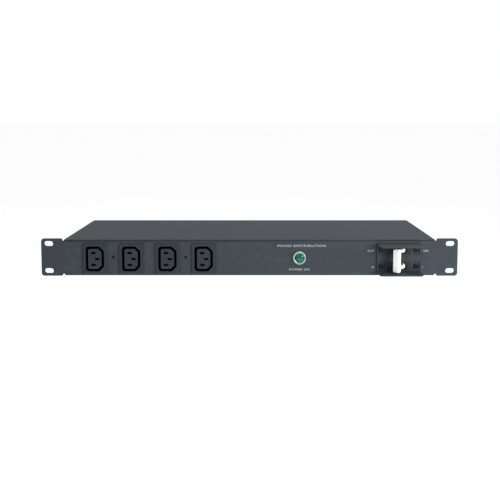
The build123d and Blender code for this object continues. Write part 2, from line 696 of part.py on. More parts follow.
for pole, z in zip(("upper", "lower"), POLES_Z):
    for name, side in (("top", 1), ("bottom", -1)):
        with BuildPart() as case_half:
            block(about(BREAKER_X, CASE_LENGTH), (0, CASE_DEPTH), half_span(z, side, POLE_HALF))
            block(about(BREAKER_X, FACE[0]), (FACE_FRONT, 0), half_span(z, side, FACE[1] / 2))
            rod(facing_front(PIVOT_X, FACE_FRONT, z), COLLAR_OUTER, COLLAR_RISE)
            block(
                about(BREAKER_X, CASE_LENGTH - 2 * CASE_WALL),
                (CASE_WALL, CASE_BACK),
                half_span(z, side, CAVITY_HALF),
                Mode.SUBTRACT,
            )
            block(
                about(BREAKER_X, FACE[0] - 2 * CASE_WALL),
                (FACE_FRONT + CASE_WALL, CASE_WALL),
                half_span(z, side, FACE[1] / 2 - CASE_WALL),
                Mode.SUBTRACT,
            )
            bore_back = facing_front(PIVOT_X, FACE_FRONT + CASE_WALL, z)
            rod(bore_back, COLLAR_BORE, CASE_WALL + COLLAR_RISE, Mode.SUBTRACT)
            for mount_side in (1, -1):
                mount_x = BREAKER_X + mount_side * MOUNT_SPACING / 2
                block(
                    about(mount_x, MOUNT_BOSS),
                    (0, MOUNT_BOSS_DEPTH),
                    half_span(z, side, MOUNT_BOSS / 2),
                )
                rod(facing_rear(mount_x, 0, z), M3, MOUNT_BOSS_DEPTH, Mode.SUBTRACT)
            for rivet_x, rivet_y in RIVETS:
                block(
                    about(rivet_x, RIVET_POST),
                    about(rivet_y, RIVET_POST),
                    half_span(z, side, POLE_HALF),
                )
                rivet_foot = Plane.XY.offset(z - POLE_HALF) * Pos(rivet_x, rivet_y)
                rod(rivet_foot, RIVET, POLE_THICKNESS, Mode.SUBTRACT)
            for stud_x in (LINE_X, LOAD_X):
                rod(facing_rear(stud_x, CASE_BACK, z), M5, CASE_WALL, Mode.SUBTRACT)
            # what the collar and holes leave on the far side of the parting plane belongs to the other half
            block(
                about(BREAKER_X, CASE_LENGTH),
                (FACE_FRONT - COLLAR_RISE, CASE_DEPTH),
                half_span(z, -side, POLE_THICKNESS),
                Mode.SUBTRACT,
            )
        save(case_half, f"{pole}_pole_{name}_shell")

with BuildPart() as breaker_rivets:
    for z in POLES_Z:
        for rivet_x, rivet_y in RIVETS:
            with Locations((rivet_x, rivet_y, z)):
                Cylinder(RIVET / 2, POLE_THICKNESS)
                head_mid = POLE_HALF + RIVET_HEAD_HEIGHT / 2
                with Locations((0, 0, head_mid), (0, 0, -head_mid)):
                    Cylinder(RIVET_HEAD / 2, RIVET_HEAD_HEIGHT)
save(breaker_rivets, "breaker_rivets")

# The toggle stands leaning towards -X, where the breaker is off
TOGGLE_PLANE = Plane(
    origin=(PIVOT_X, PIVOT_Y, 0),
    x_dir=(cos(radians(LEAN)), -sin(radians(LEAN)), 0),
    z_dir=(0, 0, 1),
)
LEVER_END = LEVER_RADIUS - TIE_BAR[1] / 2 + TIE_SOCKET

for pole, z in zip(("upper", "lower"), POLES_Z):
    with BuildPart(TOGGLE_PLANE) as toggle:
        with Locations((0, 0, z)):
            Cylinder(HUB / 2, LEVER_THICKNESS)
        block(about(0, LEVER_DEPTH), (-LEVER_END, 0), about(z, LEVER_THICKNESS))
        with Locations((0, 0, z)):
            Cylinder(PIVOT_PIN / 2 + RUN_GAP, LEVER_THICKNESS, mode=Mode.SUBTRACT)
    save(toggle, f"{pole}_toggle")

with BuildPart(TOGGLE_PLANE) as toggle_tie_bar:
    with Locations((0, -LEVER_RADIUS, BREAKER_Z - TIE_DROP)):
        Box(*TIE_BAR)
    fillet(toggle_tie_bar.edges().filter_by(Axis.Z), 1.4)
    fillet(toggle_tie_bar.faces().filter_by(Axis.Z).edges(), 2.2)
    for z in POLES_Z:
        block(about(0, LEVER_DEPTH), (-LEVER_END, 0), about(z, LEVER_THICKNESS), Mode.SUBTRACT)
save(toggle_tie_bar, "toggle_tie_bar")

# a pair of cheeks on each hub, joined by the pin that drives the contacts
crank_side = LEVER_THICKNESS / 2
with BuildPart(TOGGLE_PLANE) as toggle_cranks:
    for z in POLES_Z:
        for side in (1, -1):
            cheek = (z + side * crank_side, z + side * (crank_side + CRANK_SHEET))
            block(about(0, CRANK_WIDTH), (0, CRANK_RADIUS), cheek)
            with Locations((0, 0, sum(cheek) / 2), (0, CRANK_RADIUS, sum(cheek) / 2)):
                Cylinder(CRANK_WIDTH / 2, CRANK_SHEET)
            with Locations((0, 0, sum(cheek) / 2)):
                Cylinder(PIVOT_PIN / 2 + RUN_GAP, CRANK_SHEET, mode=Mode.SUBTRACT)
        with Locations((0, CRANK_RADIUS, z)):
            Cylinder(CRANK_WIDTH / 4, LEVER_THICKNESS)
save(toggle_cranks, "toggle_cranks")

with BuildPart() as toggle_pins:
    for z in POLES_Z:
        with Locations((PIVOT_X, PIVOT_Y, z)):
            Cylinder(PIVOT_PIN / 2, FACE[1] - 2 * CASE_WALL)
save(toggle_pins, "toggle_pins")

# The contact arms stand open, turned back from the fixed contacts
ARM_PLANE = Plane(
    origin=(CARRIER_X, CARRIER_Y, 0),
    x_dir=(cos(radians(CONTACT_SWING)), sin(radians(CONTACT_SWING)), 0),
    z_dir=(0, 0, 1),
)
with BuildPart(ARM_PLANE) as contact_arms:
    for z in POLES_Z:
        with Locations((0, 0, z)):
            Cylinder(CARRIER_HUB / 2, ARM_WIDTH)
        block((-CONTACT_RADIUS, 0), about(0, ARM_THICKNESS), about(z, ARM_WIDTH))
        with Locations((0, 0, z)):
            Cylinder(PIVOT_PIN / 2 + RUN_GAP, ARM_WIDTH, mode=Mode.SUBTRACT)
save(contact_arms, "contact_arms")

with BuildPart() as contact_arm_pins:
    for z in POLES_Z:
        with Locations((CARRIER_X, CARRIER_Y, z)):
            Cylinder(PIVOT_PIN / 2, 2 * CAVITY_HALF)
save(contact_arm_pins, "contact_arm_pins")

pad_y = CARRIER_Y + ARM_THICKNESS / 2 + CONTACT_GAP
with BuildPart() as line_terminals:
    for z in POLES_Z:
        pad_x = (LINE_X - STRAP / 2, CARRIER_X - CONTACT_RADIUS + 4)
        block(pad_x, (pad_y, pad_y + STRAP), about(z, ARM_WIDTH))
        block(about(LINE_X, STRAP), (pad_y, CASE_BACK), about(z, ARM_WIDTH))
        block(about(LINE_X, ARM_WIDTH), (CASE_BACK - STRAP, CASE_BACK), about(z, ARM_WIDTH))
        rod(facing_rear(LINE_X, CASE_BACK, z), M5, STUD_END_Y - CASE_BACK)
save(line_terminals, "line_terminals")

with BuildPart() as load_terminals:
    for z in POLES_Z:
        block(about(LOAD_X, ARM_WIDTH), (COIL_ENDS_Y[1] + YOKE_SHEET, CASE_BACK), about(z, ARM_WIDTH))
        rod(facing_rear(LOAD_X, CASE_BACK, z), M5, STUD_END_Y - CASE_BACK)
save(load_terminals, "load_terminals")

with BuildPart() as terminal_nuts:
    for z in POLES_Z:
        for stud_x in (LINE_X, LOAD_X):
            hex_nut(facing_rear(stud_x, CASE_DEPTH, z), M5_NUT, M5, M5_NUT_HEIGHT)
save(terminal_nuts, "terminal_nuts")

with BuildPart() as magnet_coils:
    for z in POLES_Z:
        coil_length = COIL_ENDS_Y[1] - COIL_ENDS_Y[0]
        rod(facing_rear(LOAD_X, COIL_ENDS_Y[0], z), COIL, coil_length)
        rod(facing_rear(LOAD_X, COIL_ENDS_Y[0], z), CORE_ROD, coil_length, Mode.SUBTRACT)
save(magnet_coils, "magnet_coils")

yoke_x = LOAD_X + COIL / 2 + 0.8
pin_x = yoke_x + YOKE_ARM / 2
lug_z = ARM_WIDTH / 2 + 1.4
with BuildPart() as magnet_yokes:
    for z in POLES_Z:
        rod(facing_rear(LOAD_X, COIL_ENDS_Y[0] - 1.4, z), CORE_ROD, COIL_ENDS_Y[1] - COIL_ENDS_Y[0] + 1.4)
        back_bar = (COIL_ENDS_Y[1], COIL_ENDS_Y[1] + YOKE_SHEET)
        block((LOAD_X - COIL / 2, yoke_x + YOKE_ARM), back_bar, about(z, 10))
        block((yoke_x, yoke_x + YOKE_ARM), (COIL_ENDS_Y[0] - 1, COIL_ENDS_Y[1]), about(z, 10))
        for side in (1, -1):
            block(
                (yoke_x, yoke_x + YOKE_ARM),
                (ARMATURE_Y - 1.2, COIL_ENDS_Y[0]),
                (z + side * lug_z, z + side * (lug_z + 1)),
            )
        with Locations((pin_x, ARMATURE_Y, z)):
            Cylinder(ARMATURE_PIN / 2, 2 * lug_z)
save(magnet_yokes, "magnet_yokes")

with BuildPart() as armatures:
    for z in POLES_Z:
        block((LOAD_X - COIL / 2, pin_x), about(ARMATURE_Y, ARMATURE_SHEET), about(z, 2 * lug_z - 0.8))
        with Locations((pin_x, ARMATURE_Y, z)):
            Cylinder(1.15, 2 * lug_z - 0.8)
            Cylinder(ARMATURE_PIN / 2 + RUN_GAP, 2 * lug_z, mode=Mode.SUBTRACT)
save(armatures, "armatures")

chute_x = (BREAKER_X - CASE_HALF + CASE_WALL + 1.2, LINE_X - STRAP / 2 - 0.5)
chute_y = FRONT_RIVET_Y + RIVET_POST / 2 + 1
with BuildPart() as arc_chutes:
    for z in POLES_Z:
        for side in (1, -1):
            block(
                chute_x,
                (chute_y, chute_y + CHUTE_PLATES * CHUTE_PITCH),
                (z + side * (CAVITY_HALF - 1), z + side * CAVITY_HALF),
            )
        for i in range(CHUTE_PLATES):
            plate_y = chute_y + (i + 0.5) * CHUTE_PITCH
            block(chute_x, about(plate_y, CHUTE_SHEET), about(z, 2 * CAVITY_HALF - 2))
save(arc_chutes, "arc_chutes")

# ---------------------------------------------------------------- guard around the toggle
guard_front = FRONT - GUARD_REACH
pocket_floor = FRONT - GUARD_PLATE + POCKET_DEPTH
with BuildPart() as breaker_guard:
    block(about(GUARD_X, GUARD_WIDTH), (FRONT - GUARD_PLATE, FRONT), about(GUARD_Z, GUARD_HEIGHT))
    for side in (1, -1):
        outer = GUARD_Z + side * GUARD_HEIGHT / 2
        block(about(GUARD_X, GUARD_WIDTH), (guard_front, FRONT), (outer, outer - side * GUARD_WALL))
    front_corners = breaker_guard.edges().filter_by(Axis.Z).group_by(Axis.Y)[0]
    fillet(front_corners, GUARD_CORNER)
    with BuildSketch(at_depth(FRONT)) as guard_cuts:
        with Locations([(BREAKER_X, z) for z in POLES_Z]):
            Rectangle(FACE[0] + 2 * GUARD_WINDOW_PLAY, FACE[1] + 2 * GUARD_WINDOW_PLAY)
        with Locations((BREAKER_X, BREAKER_Z)):
            with GridLocations(MOUNT_SPACING, POLE_PITCH, 2, 2):
                Circle(M3_CLEARANCE / 2)
    extrude(amount=GUARD_PLATE, mode=Mode.SUBTRACT)
    with BuildSketch(at_depth(pocket_floor)) as pockets:
        with Locations((BREAKER_X, BREAKER_Z)):
            with GridLocations(MOUNT_SPACING, POLE_PITCH, 2, 2):
                Rectangle(*POCKET)
    extrude(amount=POCKET_DEPTH, mode=Mode.SUBTRACT)
save(breaker_guard, "breaker_guard")

with BuildPart() as breaker_screws:
    for z in POLES_Z:
        for side in (1, -1):
            pan_screw(facing_front(BREAKER_X + side * MOUNT_SPACING / 2, pocket_floor, z), 10.0)
save(breaker_screws, "breaker_screws")

# ---------------------------------------------------------------- mains inlet
inlet_back = REAR + INLET_FLANGE_THICKNESS
with BuildPart() as inlet_housing:
    with BuildSketch(at_depth(inlet_back)) as flange_plate:
        with Locations((INLET_X, INLET_Z)):
            RectangleRounded(*INLET_FLANGE, 6)
    extrude(amount=INLET_FLANGE_THICKNESS)
    block(about(INLET_X, INLET_BODY[0]), (INLET_INNER, REAR), about(INLET_Z, INLET_BODY[1]))
    block(
        about(INLET_X, INLET_RECESS[0]),
        (inlet_back - INLET_RECESS_DEPTH, inlet_back),
        about(INLET_Z, INLET_RECESS[1]),
        Mode.SUBTRACT,
    )
    for side in (1, -1):
        place = facing_rear(INLET_X + side * INLET_SCREW_SPACING / 2, inlet_back, INLET_Z)
        sunk_hole(place, INLET_FLANGE_THICKNESS)
    for pin_place, pin_z in INLET_PINS:
        block(
            about(pin_place, INLET_PIN[0]),
            (INLET_INNER, inlet_back),
            about(pin_z, INLET_PIN[1]),
            Mode.SUBTRACT,
        )
save(inlet_housing, "inlet_housing")

with BuildPart() as inlet_pins:
    for pin_place, pin_z in INLET_PINS:
        block(
            about(pin_place, INLET_PIN[0]),
            (INLET_INNER - INLET_TAB, inlet_back - INLET_PIN_SET_BACK),
            about(pin_z, INLET_PIN[1]),
        )
save(inlet_pins, "inlet_pins")

with BuildPart() as inlet_screws:
    for side in (1, -1):
        flat_screw(facing_rear(INLET_X + side * INLET_SCREW_SPACING / 2, inlet_back, INLET_Z), 10.0)
save(inlet_screws, "inlet_screws")

with BuildPart() as inlet_nuts:
    for side in (1, -1):
        place = facing_front(INLET_X + side * INLET_SCREW_SPACING / 2, REAR - BASE_SHEET, INLET_Z)
        hex_nut(place, M3_NUT, M3 + 2 * RUN_GAP, M3_NUT_HEIGHT)
save(inlet_nuts, "inlet_nuts")

# ---------------------------------------------------------------- earth stud and its lugs
nut_z = LUG_Z + 2 * LUG_SHEET
with BuildPart() as earth_stud:
    rod(Plane.XY.offset(FLOOR) * Pos(EARTH_STUD_X, EARTH_STUD_Y), M5, EARTH_STUD_HEIGHT)
save(earth_stud, "earth_stud")

with BuildPart() as earth_washer:
    rod(Plane.XY.offset(FLOOR) * Pos(EARTH_STUD_X, EARTH_STUD_Y), 10.0, LUG_SHEET)
    rod(Plane.XY.offset(FLOOR) * Pos(EARTH_STUD_X, EARTH_STUD_Y), M5, LUG_SHEET, Mode.SUBTRACT)
save(earth_washer, "earth_washer")

with BuildPart() as earth_nut:
    hex_nut(Plane.XY.offset(nut_z) * Pos(EARTH_STUD_X, EARTH_STUD_Y), M5_NUT, M5, M5_NUT_HEIGHT)
save(earth_nut, "earth_nut")

# ---------------------------------------------------------------- wiring
BUS_CRIMPS = [
    (POWER_BAR_MID, LIVE_Z),
    (POWER_BAR_MID, NEUTRAL_Z),
    (EARTH_BAR_MID, OUTLET_Z),
]
crimp_outer = WIRE + 2 * CRIMP_WALL
BAR_GRIP = 2.0
bus_wire_x = BAR_END_X + 4
pin_wire_y = INLET_INNER - INLET_TAB - 3
stud_wire_y = STUD_END_Y + 2
lug_reach = LUG_RING / 2 + CRIMP_LENGTH
lug_wires = ((-1, LUG_Z), (1, LUG_Z + LUG_SHEET))

lamp_tab_end = LAMP_BARREL_DEPTH + LAMP_TAB_LENGTH
lamp_run_y = lamp_tab_end + 11
lamp_drop_x = BAR_END_X - 10

with BuildPart() as crimp_terminals:
    # on the ends of the three busbars
    for bar_mid, bar_z in BUS_CRIMPS:
        place = Plane(origin=(BAR_END_X - BAR_GRIP, bar_mid, bar_z), z_dir=(1, 0, 0))
        rod(place, crimp_outer, bus_wire_x + CRIMP_LENGTH - BAR_END_X + BAR_GRIP)
        block(
            (BAR_END_X - BAR_GRIP, BAR_END_X),
            about(bar_mid, BAR_THICKNESS),
            about(bar_z, BAR_HEIGHT),
            Mode.SUBTRACT,
        )
        bore = Plane(origin=(bus_wire_x, bar_mid, bar_z), z_dir=(1, 0, 0))
        rod(bore, WIRE, CRIMP_LENGTH, Mode.SUBTRACT)
    # on the breaker's four studs
    for z in POLES_Z:
        for stud_x in (LINE_X, LOAD_X):
            start = CASE_DEPTH + M5_NUT_HEIGHT
            rod(facing_rear(stud_x, start, z), M5_NUT, stud_wire_y + CRIMP_LENGTH - start)
            rod(facing_rear(stud_x, start, z), M5, STUD_END_Y - start, Mode.SUBTRACT)
            rod(facing_rear(stud_x, stud_wire_y, z), WIRE, CRIMP_LENGTH, Mode.SUBTRACT)
    # on the inlet's three tabs
    for pin_place, pin_z in INLET_PINS:
        tab_end = INLET_INNER - INLET_TAB
        block(
            about(pin_place, INLET_PIN[0] + 1.6),
            (pin_wire_y - CRIMP_LENGTH, tab_end + BAR_GRIP),
            about(pin_z, crimp_outer - 1),
        )
        block(
            about(pin_place, INLET_PIN[0]),
            (tab_end, tab_end + BAR_GRIP),
            about(pin_z, INLET_PIN[1]),
            Mode.SUBTRACT,
        )
        rod(facing_front(pin_place, pin_wire_y, pin_z), WIRE, CRIMP_LENGTH, Mode.SUBTRACT)
    # ring lugs on the earth stud
    for side, lug_bottom in lug_wires:
        with BuildSketch(Plane.XY.offset(lug_bottom)) as lug:
            with Locations((EARTH_STUD_X, EARTH_STUD_Y)):
                Circle(LUG_RING / 2)
                with Locations((side * lug_reach / 2, 0)):
                    Rectangle(lug_reach, 2 * LUG_BARREL)
                Circle(M5 / 2, mode=Mode.SUBTRACT)
        extrude(amount=LUG_SHEET)
        barrel_x = EARTH_STUD_X + side * LUG_RING / 2
        barrel = Plane(origin=(barrel_x, EARTH_STUD_Y, lug_bottom + LUG_BARREL), z_dir=(side, 0, 0))
        rod(barrel, 2 * LUG_BARREL, CRIMP_LENGTH)
        rod(barrel, WIRE, CRIMP_LENGTH, Mode.SUBTRACT)
    # on the lamp's two tabs and, as solder cups, on the power busbars
    for side, bar_z in ((1, LIVE_Z), (-1, NEUTRAL_Z)):
        tab_z = LAMP_Z + side * LAMP_TAB_SPACING / 2
        tab_start = lamp_tab_end - BAR_GRIP
        block(about(LAMP_X, LAMP_TAB[0] + 1.2), (tab_start, lamp_tab_end + 6), about(tab_z, 3.4))
        block(
            about(LAMP_X, LAMP_TAB[0]),
            (tab_start, lamp_tab_end),
            about(tab_z, LAMP_TAB[1]),
            Mode.SUBTRACT,
        )
        rod(facing_rear(LAMP_X, lamp_tab_end, tab_z), THIN_WIRE, 6, Mode.SUBTRACT)
        cup = facing_rear(lamp_drop_x, POWER_BAR_Y + BAR_THICKNESS, bar_z)
        rod(cup, THIN_WIRE + 1.6, 3)
        rod(cup, THIN_WIRE, 3, Mode.SUBTRACT)
save(crimp_terminals, "crimp_terminals")

live_pin, neutral_pin, earth_pin = INLET_PINS
upper_z, lower_z = POLES_Z
live_x = bus_wire_x + 10
neutral_x = bus_wire_x + 16
earth_x = bus_wire_x + 22

with BuildPart() as live_wires:
    wire([
        (live_pin[0], pin_wire_y, live_pin[1]),
        (live_pin[0], SUPPLY_Y, live_pin[1]),
        (live_pin[0], SUPPLY_Y, upper_z),
        (LINE_X, SUPPLY_Y, upper_z),
        (LINE_X, stud_wire_y, upper_z),
    ])
    wire([
        (LOAD_X, stud_wire_y, upper_z),
        (LOAD_X, stud_wire_y + CRIMP_LENGTH + 2, upper_z),
        (LOAD_X, RETURN_LIVE[0], RETURN_LIVE[1]),
        (live_x, RETURN_LIVE[0], RETURN_LIVE[1]),
        (live_x, POWER_BAR_MID, LIVE_Z),
        (bus_wire_x, POWER_BAR_MID, LIVE_Z),
    ])
save(live_wires, "live_wires")

with BuildPart() as neutral_wires:
    wire([
        (neutral_pin[0], pin_wire_y, neutral_pin[1]),
        (neutral_pin[0], SUPPLY_Y + 2, neutral_pin[1]),
        (neutral_pin[0] + 6, SUPPLY_Y, lower_z),
        (LINE_X, SUPPLY_Y, lower_z),
        (LINE_X, stud_wire_y, lower_z),
    ], bend=2.5)
    wire([
        (LOAD_X, stud_wire_y, lower_z),
        (LOAD_X, stud_wire_y + CRIMP_LENGTH + 2, lower_z),
        (LOAD_X, RETURN_NEUTRAL[0], RETURN_NEUTRAL[1]),
        (neutral_x, RETURN_NEUTRAL[0], RETURN_NEUTRAL[1]),
        (neutral_x, POWER_BAR_MID, NEUTRAL_Z),
        (bus_wire_x, POWER_BAR_MID, NEUTRAL_Z),
    ])
save(neutral_wires, "neutral_wires")

bus_lug_z = LUG_Z + LUG_BARREL
pin_lug_z = bus_lug_z + LUG_SHEET
with BuildPart() as earth_wires:
    wire([
        (EARTH_STUD_X - LUG_RING / 2, EARTH_STUD_Y, bus_lug_z),
        (earth_x, EARTH_STUD_Y, bus_lug_z),
        (earth_x, EARTH_STUD_Y - 26, bus_lug_z),
        (earth_x, EARTH_BAR_MID + 13, OUTLET_Z),
        (earth_x, EARTH_BAR_MID, OUTLET_Z),
        (bus_wire_x, EARTH_BAR_MID, OUTLET_Z),
    ])
    wire([
        (EARTH_STUD_X + LUG_RING / 2, EARTH_STUD_Y, pin_lug_z),
        (earth_pin[0] - 8, EARTH_STUD_Y, pin_lug_z),
        (earth_pin[0], EARTH_STUD_Y - 8, pin_lug_z),
        (earth_pin[0], SUPPLY_Y + 1, pin_lug_z),
        (earth_pin[0], SUPPLY_Y + 1, earth_pin[1]),
        (earth_pin[0], pin_wire_y, earth_pin[1]),
    ], bend=2.5)
save(earth_wires, "earth_wires")

# thin wires feed the lamp from the busbars, one above the thick wires and one below
with BuildPart() as lamp_wires:
    for side, run_z, bar_z in ((1, LIVE_Z + 7, LIVE_Z), (-1, NEUTRAL_Z - 6, NEUTRAL_Z)):
        tab_z = LAMP_Z + side * LAMP_TAB_SPACING / 2
        wire([
            (LAMP_X, lamp_tab_end, tab_z),
            (LAMP_X, lamp_run_y, tab_z),
            (LAMP_X - 8, lamp_run_y, run_z),
            (lamp_drop_x, lamp_run_y, run_z),
            (lamp_drop_x, lamp_run_y, bar_z),
            (lamp_drop_x, POWER_BAR_Y + BAR_THICKNESS, bar_z),
        ], diameter=THIN_WIRE, bend=2.0)
save(lamp_wires, "lamp_wires")

clip_y = (RETURN_NEUTRAL[0] - 3.2, RETURN_LIVE[0] + 3.2)
with BuildPart() as wire_clips:
    for x in CLIPS_X:
        block(about(x, CLIP_WIDTH), clip_y, (FLOOR, RETURN_LIVE[1] + 3.2))
        for wire_y, wire_z in (RETURN_LIVE, RETURN_NEUTRAL):
            hole = Plane(origin=(x - CLIP_WIDTH / 2, wire_y, wire_z), z_dir=(1, 0, 0))
            rod(hole, WIRE, CLIP_WIDTH, Mode.SUBTRACT)
save(wire_clips, "wire_clips")
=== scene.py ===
"""The looks of the rack power strip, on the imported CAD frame. Metres, in the CAD's own frame."""
import json
from math import cos, pi, radians, sin

import bmesh
import bpy
from mathutils import Matrix, Vector


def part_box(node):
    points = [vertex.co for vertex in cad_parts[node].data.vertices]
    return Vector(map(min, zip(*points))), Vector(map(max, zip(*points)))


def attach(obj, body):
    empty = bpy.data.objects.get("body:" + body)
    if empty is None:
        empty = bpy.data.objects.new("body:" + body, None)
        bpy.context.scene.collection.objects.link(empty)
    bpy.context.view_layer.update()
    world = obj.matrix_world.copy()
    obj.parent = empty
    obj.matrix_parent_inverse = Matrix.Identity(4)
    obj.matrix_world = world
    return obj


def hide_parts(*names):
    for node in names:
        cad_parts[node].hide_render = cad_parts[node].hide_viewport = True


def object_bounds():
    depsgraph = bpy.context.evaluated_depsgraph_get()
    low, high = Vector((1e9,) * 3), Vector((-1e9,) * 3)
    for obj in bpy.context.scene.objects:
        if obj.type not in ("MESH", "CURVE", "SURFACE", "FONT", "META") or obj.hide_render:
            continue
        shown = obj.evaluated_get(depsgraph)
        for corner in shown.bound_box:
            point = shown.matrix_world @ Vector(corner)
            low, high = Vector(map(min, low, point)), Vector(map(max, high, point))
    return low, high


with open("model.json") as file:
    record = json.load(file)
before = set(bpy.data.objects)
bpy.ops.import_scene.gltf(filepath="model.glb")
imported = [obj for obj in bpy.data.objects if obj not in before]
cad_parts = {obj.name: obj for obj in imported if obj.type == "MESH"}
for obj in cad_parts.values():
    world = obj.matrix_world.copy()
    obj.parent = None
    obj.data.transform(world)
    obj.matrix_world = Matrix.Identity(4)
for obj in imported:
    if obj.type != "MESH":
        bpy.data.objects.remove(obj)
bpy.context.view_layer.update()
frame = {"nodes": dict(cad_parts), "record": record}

NODES = frame["nodes"]
MM = 0.001

# ---------------------------------------------------------------- material building blocks
NOISE_ROUGHNESS = 0.55
NOISE_SPAN = (0.3, 0.7)         # where nearly all of a noise's values lie
MIX_COLOURS = (6, 7)            # a Mix node's colour sockets, which share their names with others
MIX_RESULT = 2


class Shade:
    """A node-based material: one Principled shader, varied by textures in object space."""

    def __init__(self, name):
        self.material = bpy.data.materials.new(name)
        self.material.use_nodes = True
        self.nodes = self.material.node_tree.nodes
        self.links = self.material.node_tree.links
        self.shader = self.nodes["Principled BSDF"]
        self.place = self.nodes.new("ShaderNodeTexCoord")

    def set(self, **values):
        for socket, value in values.items():
            self.shader.inputs[socket.replace("_", " ")].default_value = value

    def texture(self, kind, scale, stretch=None):
        """A texture of so many features per metre, stretched along an axis if asked."""
        source = self.place.outputs["Object"]
        if stretch:
            mapping = self.nodes.new("ShaderNodeMapping")
            mapping.inputs["Scale"].default_value = stretch
            self.links.new(source, mapping.inputs["Vector"])
            source = mapping.outputs["Vector"]
        texture = self.nodes.new("ShaderNodeTex" + kind)
        texture.inputs["Scale"].default_value = scale
        self.links.new(source, texture.inputs["Vector"])
        return texture

    def noise(self, scale, detail=3.0, stretch=None):
        texture = self.texture("Noise", scale, stretch)
        texture.inputs["Detail"].default_value = detail
        texture.inputs["Roughness"].default_value = NOISE_ROUGHNESS
        return texture.outputs["Fac"]

    def cells(self, scale):
        """A random value from 0 to 1 for each cell of so many per metre."""
        grey = self.nodes.new("ShaderNodeRGBToBW")
        self.links.new(self.texture("Voronoi", scale).outputs["Color"], grey.inputs["Color"])
        return grey.outputs["Val"]

    def bands(self, scale, direction):
        """Bands across an axis, rising and falling between 0 and 1."""
        texture = self.texture("Wave", scale)
        texture.bands_direction = direction
        return texture.outputs["Fac"]

    def along(self, axis, low, high):
        """0 up to one place along an axis of the part and 1 from another on."""
        parts = self.nodes.new("ShaderNodeSeparateXYZ")
        self.links.new(self.place.outputs["Object"], parts.inputs["Vector"])
        return self.stretch(parts.outputs[axis], low, high)

    def edges(self, low=0.52, high=0.62):
        """1 along convex edges and 0 elsewhere."""
        geometry = self.nodes.new("ShaderNodeNewGeometry")
        return self.stretch(geometry.outputs["Pointiness"], low, high)

    def stretch(self, value, low, high, out_low=0.0, out_high=1.0):
        """A value's range from low to high, spread over the range from out_low to out_high."""
        ranged = self.nodes.new("ShaderNodeMapRange")
        for socket, number in (
            ("From Min", low),
            ("From Max", high),
            ("To Min", out_low),
            ("To Max", out_high),
        ):
            ranged.inputs[socket].default_value = number
        self.links.new(value, ranged.inputs["Value"])
        return ranged.outputs["Result"]

    def times(self, first, second):
        product = self.nodes.new("ShaderNodeMath")
        product.operation = "MULTIPLY"
        self.links.new(first, product.inputs[0])
        self.links.new(second, product.inputs[1])
        return product.outputs[0]

    def mix(self, share, first, second):
        """A colour between two, each a colour or another mix's output."""
        mixer = self.nodes.new("ShaderNodeMix")
        mixer.data_type = "RGBA"
        self.links.new(share, mixer.inputs["Factor"])
        for index, colour in zip(MIX_COLOURS, (first, second)):
            if isinstance(colour, bpy.types.NodeSocket):
                self.links.new(colour, mixer.inputs[index])
            else:
                mixer.inputs[index].default_value = (*colour, 1.0)
        return mixer.outputs[MIX_RESULT]

    def colour(self, output):
        self.links.new(output, self.shader.inputs["Base Color"])

    def rough(self, noise, low, high):
        """Roughness that follows a noise between two values."""
        self.links.new(self.stretch(noise, *NOISE_SPAN, low, high), self.shader.inputs["Roughness"])

    def bump(self, output, distance, strength):
        node = self.nodes.new("ShaderNodeBump")
        node.inputs["Distance"].default_value = distance
        node.inputs["Strength"].default_value = strength
        self.links.new(output, node.inputs["Height"])
        self.links.new(node.outputs["Normal"], self.shader.inputs["Normal"])


def scaled(colour, factor):
    return tuple(min(channel * factor, 1.0) for channel in colour)


# ---------------------------------------------------------------- materials
FINE_GRAIN = 1500.0             # features per metre, of powder coat and print
SPARK_GRAIN = 1800.0            # the same, of plastic from a spark-eroded mould
GROOVE_SHADE_START = 0.6 * MM       # behind the outlets' front, where the painted shade in the sockets starts
GROOVE_SHADE_FULL = 2.2 * MM         # and where the painted shade is full
GROOVE_SHADE = 0.08             # the share of the moulding's colour that is left under the painted shade


def powder_coat(name, colour):
    """Satin black powder coat: a fine even grain, faint clouding, and edges rubbed lighter."""
    shade = Shade(name)
    clouds = shade.noise(9.0, detail=4.0)
    grain = shade.noise(FINE_GRAIN)
    body = shade.mix(clouds, scaled(colour, 0.985), scaled(colour, 1.015))
    speckles = shade.stretch(grain, 0.35, 0.65, out_high=0.3)
    speckled = shade.mix(speckles, body, scaled(colour, 1.6))
    patches = shade.stretch(shade.noise(160.0), 0.4, 0.7, out_high=0.3)
    rubbed = shade.times(shade.edges(0.53, 0.66), patches)
    shade.colour(shade.mix(rubbed, speckled, scaled(colour, 2.0)))
    shade.rough(grain, 0.56, 0.64)
    shade.bump(grain, 0.05 * MM, strength=0.3)
    shade.set(Specular_IOR_Level=0.08)
    return shade.material


def moulding(name, colour, rough, grain_scale=SPARK_GRAIN, grain_depth=0.04 * MM, lift=1.35,
             wear=0.6, shine=0.22, front=None):
    """Moulded plastic: spark-eroded grain, slight mottling, paler worn edges.

    Given a front, a place along Y, it gets painted shade that falls to black in the grooves and
    slots behind it.
    """
    shade = Shade(name)
    mottle = shade.noise(55.0, detail=4.0)
    grain = shade.noise(grain_scale, detail=2.0)
    body = shade.mix(mottle, scaled(colour, 0.9), scaled(colour, 1.1))
    worn = shade.times(shade.edges(), shade.stretch(mottle, 0.35, 0.7, 0.1, wear))
    surface = shade.mix(worn, body, scaled(colour, lift))
    if front is not None:
        # painted shade: the colour darkens to black in the grooves and slots behind the front
        painted_groove_shade = shade.along("Y", front + GROOVE_SHADE_START, front + GROOVE_SHADE_FULL)
        surface = shade.mix(painted_groove_shade, surface, scaled(colour, GROOVE_SHADE))
    shade.colour(surface)
    shade.rough(mottle, rough - 0.06, rough + 0.06)
    shade.bump(grain, grain_depth, strength=0.35)
    shade.set(Specular_IOR_Level=shine)
    return shade.material


